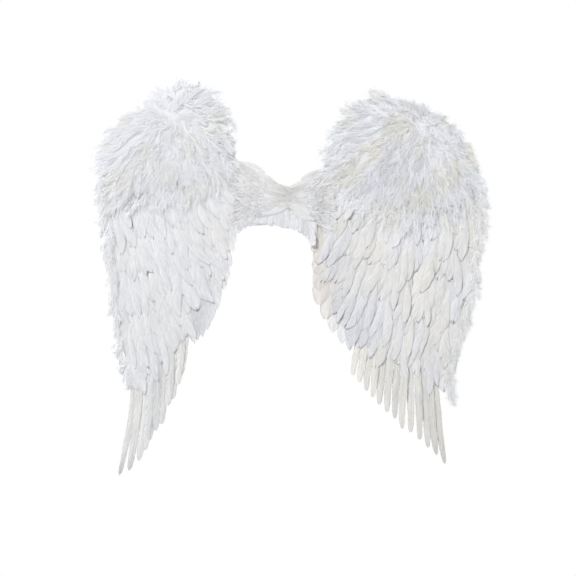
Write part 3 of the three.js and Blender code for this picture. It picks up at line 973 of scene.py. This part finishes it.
def keep_result(obj):
    """Makes what the modifiers give the object's own mesh, and takes them off."""
    shown = obj.evaluated_get(bpy.context.evaluated_depsgraph_get())
    mesh = bpy.data.meshes.new_from_object(shown)
    obj.modifiers.clear()
    old = obj.data
    obj.data = mesh
    bpy.data.meshes.remove(old)
    mesh.materials.clear()
    mesh.materials.append(MATERIALS["felt"])
    for polygon in mesh.polygons:
        polygon.use_smooth = True


def soft_outline(values, window):
    """A row of numbers with its corners rounded off."""
    padded = np.pad(values, window, mode="edge")
    return np.convolve(padded, np.ones(2 * window + 1) / (2 * window + 1), mode="valid")


def felt_backing(side, levels, rng):
    """The backing: a felt-faced sheet that follows the wing, with rounded rims and a fine fuzz."""
    table = np.array(levels, float)
    z = np.linspace(table[0, 0], table[-1, 0], FELT_ROWS)
    inner = soft_outline(np.interp(-z, -table[:, 0], table[:, 1]), 4)
    outer = soft_outline(np.interp(-z, -table[:, 0], table[:, 2]), 4)
    share = (1 - np.cos(np.linspace(0, math.pi, FELT_COLUMNS))) / 2
    x = inner[:, None] + (outer - inner)[:, None] * share[None, :]
    reach = np.abs(outer - inner)[:, None]
    rim = np.minimum(np.minimum(share, 1 - share)[None, :] * reach, np.minimum(z[0] - z, z - z[-1])[:, None])
    round_off = np.sqrt(np.clip(1 - (1 - np.minimum(1, rim / FELT_ROUND)) ** 2, 0, 1))
    wave = 0.12 * np.sin(x * 0.19 + 2 * np.sin(z * 0.06)[:, None]) * np.sin(z * 0.23)[:, None]
    half = FELT_THICK / 2
    front = on_wing(x, z[:, None], half + (half + wave - 0.15) * round_off)
    back = on_wing(x, z[:, None], half - half * round_off)
    pile = Pile()
    pile.grid(np.concatenate([front, back[:, ::-1], front[:, :1]], axis=1))
    number = FELT_FUZZ
    row = rng.integers(1, FELT_ROWS - 1, number)
    at = rng.uniform(0, 1, number)
    at[: number // 3] = np.round(at[: number // 3])
    start_x = inner[row] + (outer - inner)[row] * at
    start_z = z[row] + rng.uniform(-1, 1, number)
    under_strap = (np.abs(np.abs(start_x) - STRAP["x"]) < 14) & (start_z > -90) & (start_z < 92)
    clear = ~under_strap
    start = np.column_stack([start_x, start_z, np.full(number, 0.3)])[clear]
    number = len(start)
    threads(
        pile,
        rng,
        start,
        rng.uniform(0, 2 * math.pi, number),
        rng.normal(0, 0.5, number),
        -np.radians(rng.uniform(10, 60, number)),
        rng.uniform(1.0, 2.6, number),
        steps=4,
        floor=-1.2,
        thread=(0.16, 0.14, 0.05),
    )
    return pile.make(f"felt_backing_{side}", MATERIALS["felt"], [f"backing_{side}"])


def strap_route(x):
    """Points along the middle of a strap, through its table as a smooth curve."""
    behind = [-lift(x, z) + STRAP["seat"] + STRAP["thick"] / 2 for z, _, _ in STRAP_RUN]
    known = [(y if off is None else low + off, z) for low, (z, off, y) in zip(behind, STRAP_RUN)]
    points = np.array([2 * np.array(known[0]) - known[1], *known, 2 * np.array(known[-1]) - known[-2]])
    route = []
    for a, b, c, d in zip(points[:-3], points[1:-2], points[2:-1], points[3:]):
        ab, bc, cd = (math.sqrt(math.dist(*pair)) for pair in ((a, b), (b, c), (c, d)))
        leave = ((b - a) / ab - (c - a) / (ab + bc) + (c - b) / bc) * bc
        arrive = ((c - b) / bc - (d - b) / (bc + cd) + (d - c) / cd) * bc
        square = 3 * (c - b) - 2 * leave - arrive
        cube = 2 * (b - c) + leave + arrive
        for t in np.linspace(0, 1, STRAP_STEPS, endpoint=False):
            route.append(b + leave * t + square * t**2 + cube * t**3)
    route.append(points[-2])
    return np.array(route)


def strap(side):
    """A shoulder strap: a ribbed elastic band, sewn down flat at both ends with two lines of stitches."""
    x = SIGN[side] * STRAP["x"]
    route = strap_route(x)
    line = np.column_stack([np.full(len(route), x), route])
    ahead = np.gradient(line, axis=0)
    ahead /= np.linalg.norm(ahead, axis=1)[:, None]
    up = np.column_stack([np.zeros(len(line)), ahead[:, 2], -ahead[:, 1]])
    lean = (lift(STRAP["x"] + 1, 0) - lift(STRAP["x"] - 1, 0)) / 2
    wide = np.array([1.0, -SIGN[side] * lean, 0.0])
    across = np.linspace(-1, 1, STRAP_COLUMNS)
    ribs = 1 - STRAP_RIB * (0.5 + 0.5 * np.cos(across * math.pi * 2 * STRAP_RIBS))
    round_off = np.sqrt(1 - np.abs(across) ** 10)
    run = np.concatenate([[0], np.cumsum(np.linalg.norm(np.diff(line, axis=0), axis=1))])
    closed = np.clip(np.minimum(run, run[-1] - run) / 0.8, 0, 1)
    half = STRAP["thick"] / 2 * closed[:, None] * (ribs * round_off)[None, :]
    spread = line[:, None, :] + (across * STRAP["width"] / 2)[None, :, None] * wide[None, None, :]
    front = spread + half[..., None] * up[:, None, :]
    back = spread - half[..., None] * up[:, None, :]
    pile = Pile()
    columns = np.concatenate([across, across[::-1], across[:1]])
    pile.grid(
        np.concatenate([front, back[:, ::-1], front[:, :1]], axis=1),
        along=run[:, None] / 100,
        across=columns[None, :],
    )
    for ends in STRAP_SEAMS:
        for place in ends:
            for stitch in np.linspace(-0.82, 0.82, STRAP_STITCHES):
                at = np.interp(place, run if place > 0 else run - run[-1], np.arange(len(run)))
                k = int(at)
                middle = line[k] + stitch * STRAP["width"] / 2 * wide + up[k] * (STRAP["thick"] / 2 + 0.05)
                step = wide * 0.62
                arch = np.array([middle + step * t + up[k] * 0.22 * (1 - t * t) for t in np.linspace(-1, 1, 5)])
                thread = ahead[k] * 0.22
                rows = [arch - thread, arch + up[k] * 0.12, arch + thread]
                pile.grid(np.stack(rows, axis=1), along=0.0, across=0.0, tone=1.0)
    return pile.make(f"elastic_strap_{side}", MATERIALS["elastic"], [f"shoulder_strap_{side}"])


def new_material(name):
    material = bpy.data.materials.new(name)
    material.use_nodes = True
    tree = material.node_tree
    return material, tree, tree.nodes["Principled BSDF"]


def attribute(tree, name):
    node = tree.nodes.new("ShaderNodeAttribute")
    node.attribute_name = name
    return node.outputs["Fac"]


def ramp(tree, source, stops):
    node = tree.nodes.new("ShaderNodeValToRGB")
    tree.links.new(source, node.inputs["Fac"])
    elements = node.color_ramp.elements
    while len(elements) < len(stops):
        elements.new(0.5)
    for element, (place, colour) in zip(elements, stops):
        element.position = place
        element.color = (*colour, 1)
    return node.outputs["Color"]


def math_node(tree, operation, a, b):
    node = tree.nodes.new("ShaderNodeMath")
    node.operation = operation
    for socket, value in zip(node.inputs, (a, b)):
        if isinstance(value, (int, float)):
            socket.default_value = value
        else:
            tree.links.new(value, socket)
    return node.outputs[0]


def multiply(tree, a, b):
    node = tree.nodes.new("ShaderNodeMix")
    node.data_type = "RGBA"
    node.blend_type = "MULTIPLY"
    node.inputs["Factor"].default_value = 1.0
    tree.links.new(a, node.inputs[6])
    tree.links.new(b, node.inputs[7])
    return node.outputs[2]


def thin(tree, bsdf, colour, share):
    """Lets some light through a thin piece."""
    back = tree.nodes.new("ShaderNodeBsdfTranslucent")
    tree.links.new(colour, back.inputs["Color"])
    both = tree.nodes.new("ShaderNodeMixShader")
    both.inputs[0].default_value = share
    tree.links.new(bsdf.outputs[0], both.inputs[1])
    tree.links.new(back.outputs[0], both.inputs[2])
    tree.links.new(both.outputs[0], tree.nodes["Material Output"].inputs["Surface"])


def feather_material(name, cool, cream, streak):
    """Feather vane: fine barbs that run out from the shaft, each feather with its own tone."""
    material, tree, bsdf = new_material(name)
    along, across, tone = (attribute(tree, value) for value in ("along", "across", "tone"))
    place = tree.nodes.new("ShaderNodeCombineXYZ")
    outwards = math_node(tree, "ABSOLUTE", across, 0)
    slanted = math_node(tree, "SUBTRACT", along, math_node(tree, "MULTIPLY", outwards, 0.1))
    tree.links.new(math_node(tree, "MULTIPLY", slanted, streak[0]), place.inputs[0])
    tree.links.new(math_node(tree, "MULTIPLY", across, streak[1]), place.inputs[1])
    tree.links.new(math_node(tree, "MULTIPLY", tone, 37.0), place.inputs[2])
    noise = tree.nodes.new("ShaderNodeTexNoise")
    noise.inputs["Scale"].default_value = 1.0
    noise.inputs["Detail"].default_value = 3.0
    tree.links.new(place.outputs[0], noise.inputs["Vector"])
    colour = ramp(tree, tone, ((0.0, cool), (1.0, cream)))
    barbs = ramp(tree, noise.outputs["Fac"], ((0.3, (0.82, 0.825, 0.84)), (0.62, (1, 1, 1))))
    colour = multiply(tree, colour, barbs)
    # Greyer towards a vane's edges: the thin edge of the vane, and painted shade that deepens the lines where
    # feathers overlap
    rim = ramp(tree, outwards, ((0.7, (1, 1, 1)), (1.0, (0.86, 0.865, 0.88))))
    colour = multiply(tree, colour, rim)
    # The shade value greys the colour: each feather's own grey, at random, and painted shade where the tables set it,
    # as on the right wing and the yoke
    shade = ramp(tree, attribute(tree, "shade"), ((0.0, (1, 1, 1)), (1.0, (0.72, 0.73, 0.76))))
    colour = multiply(tree, colour, shade)
    tree.links.new(colour, bsdf.inputs["Base Color"])
    bump = tree.nodes.new("ShaderNodeBump")
    bump.inputs["Strength"].default_value = 0.35
    bump.inputs["Distance"].default_value = 0.0004
    tree.links.new(noise.outputs["Fac"], bump.inputs["Height"])
    tree.links.new(bump.outputs[0], bsdf.inputs["Normal"])
    bsdf.inputs["Roughness"].default_value = 0.42
    bsdf.inputs["Specular IOR Level"].default_value = 0.5
    bsdf.inputs["Sheen Weight"].default_value = 0.15
    thin(tree, bsdf, colour, 0.2)
    return material


def down_material():
    material, tree, bsdf = new_material("down")
    colour = ramp(tree, attribute(tree, "tone"), ((0.0, (0.955, 0.965, 0.99)), (1.0, (0.93, 0.92, 0.875))))
    # The shade value greys the down: its own grey, at random, and painted shade on the right crest, at the upper rim
    # and on the wisps
    shade = ramp(tree, attribute(tree, "shade"), ((0.0, (1, 1, 1)), (1.0, (0.72, 0.73, 0.76))))
    colour = multiply(tree, colour, shade)
    tree.links.new(colour, bsdf.inputs["Base Color"])
    bsdf.inputs["Roughness"].default_value = 0.9
    bsdf.inputs["Specular IOR Level"].default_value = 0.1
    thin(tree, bsdf, colour, 0.3)
    return material


def felt_material():
    material, tree, bsdf = new_material("felt")
    noise = tree.nodes.new("ShaderNodeTexNoise")
    noise.inputs["Scale"].default_value = 900.0
    noise.inputs["Detail"].default_value = 4.0
    place = tree.nodes.new("ShaderNodeTexCoord")
    tree.links.new(place.outputs["Object"], noise.inputs["Vector"])
    colour = ramp(tree, noise.outputs["Fac"], ((0.3, (0.74, 0.735, 0.72)), (0.7, (0.86, 0.855, 0.84))))
    cloud = tree.nodes.new("ShaderNodeTexNoise")
    cloud.inputs["Scale"].default_value = 70.0
    cloud.inputs["Detail"].default_value = 6.0
    cloud.inputs["Roughness"].default_value = 0.7
    tree.links.new(place.outputs["Object"], cloud.inputs["Vector"])
    tuft = ramp(tree, cloud.outputs["Fac"], ((0.35, (0.92, 0.92, 0.915)), (0.65, (1, 1, 1))))
    tree.links.new(multiply(tree, colour, tuft), bsdf.inputs["Base Color"])
    bump = tree.nodes.new("ShaderNodeBump")
    bump.inputs["Strength"].default_value = 0.4
    bump.inputs["Distance"].default_value = 0.0008
    grain = math_node(tree, "ADD", noise.outputs["Fac"], cloud.outputs["Fac"])
    tree.links.new(grain, bump.inputs["Height"])
    tree.links.new(bump.outputs[0], bsdf.inputs["Normal"])
    bsdf.inputs["Roughness"].default_value = 0.95
    bsdf.inputs["Sheen Weight"].default_value = 0.4
    return material


def elastic_material():
    """Woven elastic: fine picks across the band, over its modelled ribs with painted shade in the grooves between
    them, and whiter thread in its seams.
    """
    material, tree, bsdf = new_material("elastic")
    along, across, tone = (attribute(tree, value) for value in ("along", "across", "tone"))
    place = tree.nodes.new("ShaderNodeCombineXYZ")
    tree.links.new(along, place.inputs[0])
    tree.links.new(math_node(tree, "MULTIPLY", across, 0.1), place.inputs[1])
    wave = tree.nodes.new("ShaderNodeTexWave")
    wave.wave_type = "BANDS"
    wave.bands_direction = "X"
    wave.inputs["Scale"].default_value = 26.0
    wave.inputs["Distortion"].default_value = 0.6
    tree.links.new(place.outputs[0], wave.inputs["Vector"])
    colour = ramp(tree, wave.outputs["Fac"], ((0.0, (0.72, 0.72, 0.72)), (1.0, (0.88, 0.88, 0.88))))
    thread = ramp(tree, tone, ((0.4, (1, 1, 1)), (0.6, (0.8, 0.8, 0.82))))
    rib = math_node(tree, "COSINE", math_node(tree, "MULTIPLY", across, 2 * math.pi * STRAP_RIBS), 0)
    # Painted shade in the grooves between the ribs
    painted_groove_shade = ramp(tree, math_node(tree, "MULTIPLY", rib, 0.5), ((0.0, (1, 1, 1)), (0.5, (0.84, 0.84, 0.85))))
    tree.links.new(multiply(tree, multiply(tree, colour, thread), painted_groove_shade), bsdf.inputs["Base Color"])
    bump = tree.nodes.new("ShaderNodeBump")
    bump.inputs["Strength"].default_value = 0.5
    bump.inputs["Distance"].default_value = 0.0003
    tree.links.new(wave.outputs["Fac"], bump.inputs["Height"])
    tree.links.new(bump.outputs[0], bsdf.inputs["Normal"])
    bsdf.inputs["Roughness"].default_value = 0.8
    return material


def studio():
    """White world, a soft key from the upper left, a weak light from behind and a pale floor far below."""
    scene = bpy.context.scene
    scene.view_settings.view_transform = "Standard"
    world = bpy.data.worlds.new("studio")
    scene.world = world
    world.use_nodes = True
    tree = world.node_tree
    tree.nodes.clear()
    seen = tree.nodes.new("ShaderNodeBackground")
    seen.inputs["Strength"].default_value = 1.0
    lit = tree.nodes.new("ShaderNodeBackground")
    lit.inputs["Color"].default_value = (0.965, 0.98, 1.0, 1)
    lit.inputs["Strength"].default_value = 0.42
    path = tree.nodes.new("ShaderNodeLightPath")
    both = tree.nodes.new("ShaderNodeMixShader")
    out = tree.nodes.new("ShaderNodeOutputWorld")
    seen.inputs["Color"].default_value = (1, 1, 1, 1)
    tree.links.new(path.outputs["Is Camera Ray"], both.inputs[0])
    tree.links.new(lit.outputs[0], both.inputs[1])
    tree.links.new(seen.outputs[0], both.inputs[2])
    tree.links.new(both.outputs[0], out.inputs["Surface"])

    def area(name, place, size, power, colour=(1, 1, 1)):
        data = bpy.data.lights.new(name, "AREA")
        data.size = size
        data.energy = power
        data.color = colour
        light = bpy.data.objects.new(name, data)
        scene.collection.objects.link(light)
        light.location = place
        light.rotation_mode = "QUATERNION"
        aim = light.location * -1
        aim.z -= 0.13
        light.rotation_quaternion = aim.to_track_quat("-Z", "Y")

    area("key", (-1.4, -2.0, 1.7), 0.5, 81.5, (1.0, 0.99, 0.975))
    area("fill", (1.8, -1.9, 0.3), 1.6, 8)
    area("back", (-1.4, 2.0, 1.1), 0.8, 20)

    mesh = bpy.data.meshes.new("floor")
    reach, low = 2.2, -1.25
    corners = [(-reach, -reach, low), (reach, -reach, low), (reach, reach, low), (-reach, reach, low)]
    mesh.from_pydata(corners, [], [(0, 1, 2, 3)])
    floor = bpy.data.objects.new("floor", mesh)
    scene.collection.objects.link(floor)
    material, tree, bsdf = new_material("floor")
    bsdf.inputs["Base Color"].default_value = (0.85, 0.85, 0.85, 1)
    bsdf.inputs["Roughness"].default_value = 0.9
    mesh.materials.append(material)


def camera():
    data = bpy.data.cameras.new("camera")
    data.sensor_width = 36.0
    data.lens = 112.5
    obj = bpy.data.objects.new("camera", data)
    bpy.context.scene.collection.objects.link(obj)
    obj.location = (0.0017, -3.0, -0.133)
    obj.rotation_euler = (math.radians(90), 0, 0)
    bpy.context.scene.camera = obj


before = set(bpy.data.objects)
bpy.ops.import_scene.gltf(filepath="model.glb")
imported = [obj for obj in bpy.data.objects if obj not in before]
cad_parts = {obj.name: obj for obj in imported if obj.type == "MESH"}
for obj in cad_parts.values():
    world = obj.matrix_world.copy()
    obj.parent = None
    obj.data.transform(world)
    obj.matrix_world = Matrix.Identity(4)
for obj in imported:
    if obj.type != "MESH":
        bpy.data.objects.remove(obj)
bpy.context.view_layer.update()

MATERIALS = {
    "covert": feather_material("covert", (0.9, 0.905, 0.93), (0.9, 0.885, 0.845), (22.0, 1.0)),
    "blush": feather_material("blush", (0.9, 0.905, 0.93), (0.832, 0.783, 0.722), (22.0, 1.0)),
    "flight": feather_material("flight", (0.88, 0.884, 0.895), (0.875, 0.85, 0.775), (5.0, 3.5)),
    "down": down_material(),
    "felt": felt_material(),
    "elastic": elastic_material(),
}

for side in SIDES:
    for number, row in enumerate(COVERTS[side], 1):
        covert_row(side, number, row, np.random.default_rng(100 + number + 10 * SIDES.index(side)))
    for number, place in enumerate(FLIGHTS[side], 1):
        flight_feather(side, number, place, np.random.default_rng(200 + number + 20 * SIDES.index(side)))
    inner_feathers(side, INNER[side], np.random.default_rng(300 + SIDES.index(side)))
    crest(side, CREST[side], np.random.default_rng(400 + SIDES.index(side)))
    edge_trim(side, EDGE[side], np.random.default_rng(500 + SIDES.index(side)))
    felt_backing(side, BACKING[side], np.random.default_rng(700 + SIDES.index(side)))
    strap(side)
for number, (place, row) in enumerate(YOKE_FEATHERS.items()):
    yoke_feathers(place, row, np.random.default_rng(600 + number))
yoke_pad()

studio()
camera()
